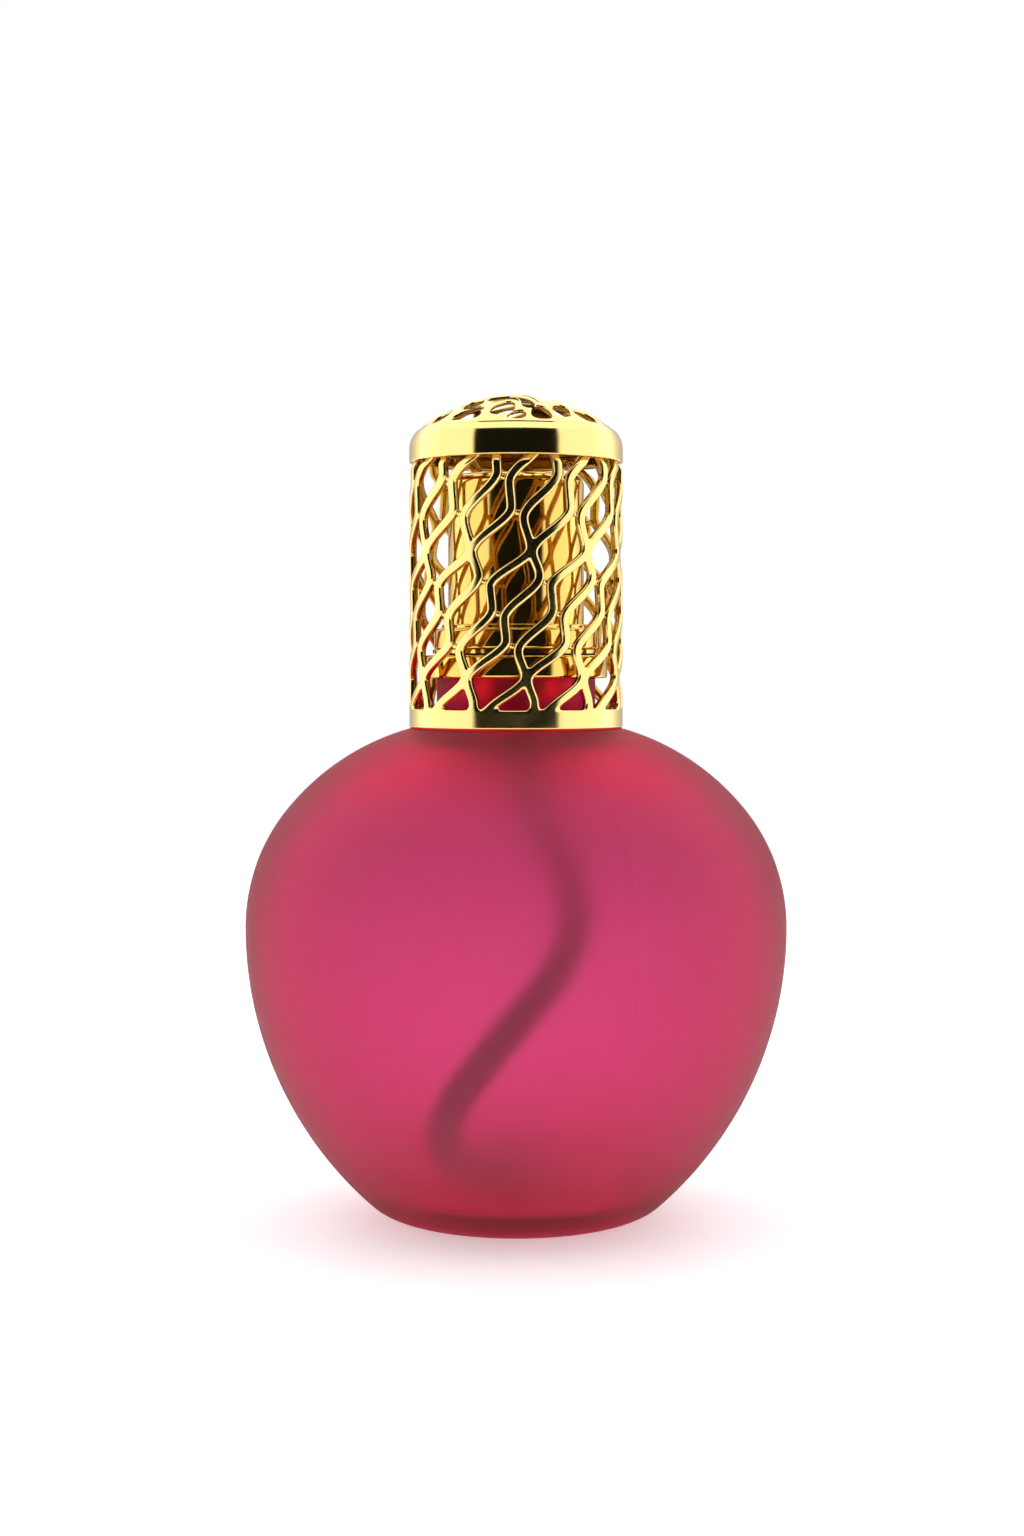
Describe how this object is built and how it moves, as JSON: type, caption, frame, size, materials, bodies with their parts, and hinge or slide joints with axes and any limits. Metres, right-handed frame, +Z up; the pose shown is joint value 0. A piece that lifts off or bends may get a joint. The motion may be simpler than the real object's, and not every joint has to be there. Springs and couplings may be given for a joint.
{
  "type": "fragrance lamp",
  "caption": "Small fragrance lamp: apple-shaped frosted glass bottle under a pierced gold crown with a domed top, around a snuffer cap, a porous burner and a cotton wick.",
  "frame": {"origin": "centre of the foot, on the surface that the bottle stands on", "axes": "+Z up along the bottle's axis, -Y towards the front, where the wick bows against the glass"},
  "size_m": [0.0896, 0.0896, 0.1353],
  "materials": {
    "frosted_glass": "satin frosted, dyed raspberry pink",
    "gold": "polished gold plate on cast metal",
    "gasket_rubber": "matt black",
    "burner_ceramic": "unglazed porous ceramic",
    "core_ceramic": "unglazed, stained by its catalyst",
    "clamp_metal": "bare crimped metal",
    "wick_cotton": "braided cotton",
    "liner_plastic": "moulded, natural white",
    "seal_silicone": "translucent silicone"
  },
  "bodies": {
    "bottle": {"glass_bottle": "frosted_glass", "neck_collar": "gold", "neck_gasket": "gasket_rubber"},
    "burner": {"burner_mount": "gold", "burner_stone": "burner_ceramic", "catalyst_core": "core_ceramic", "wick_clamp": "clamp_metal", "cotton_wick": "wick_cotton"},
    "snuffer": {"snuffer_shell": "gold", "snuffer_base_ring": "gold", "snuffer_liner": "liner_plastic", "snuffer_seal": "seal_silicone"},
    "crown": {"crown_sleeve": "gold", "crown_top_band": "gold", "crown_dome": "gold", "dome_retainer": "gold"}
  },
  "joints": [
    {"name": "burner_lift", "type": "slide", "parent": "bottle", "child": "burner", "axis": [0, 0, 1], "range_m": [0, 0.095], "deforming": ["cotton_wick"]},
    {"name": "snuffer_lift", "type": "slide", "parent": "burner", "child": "snuffer", "axis": [0, 0, 1], "range_m": [0, 0.03]},
    {"name": "crown_lift", "type": "slide", "parent": "snuffer", "child": "crown", "axis": [0, 0, 1], "range_m": [0, 0.045]}
  ]
}
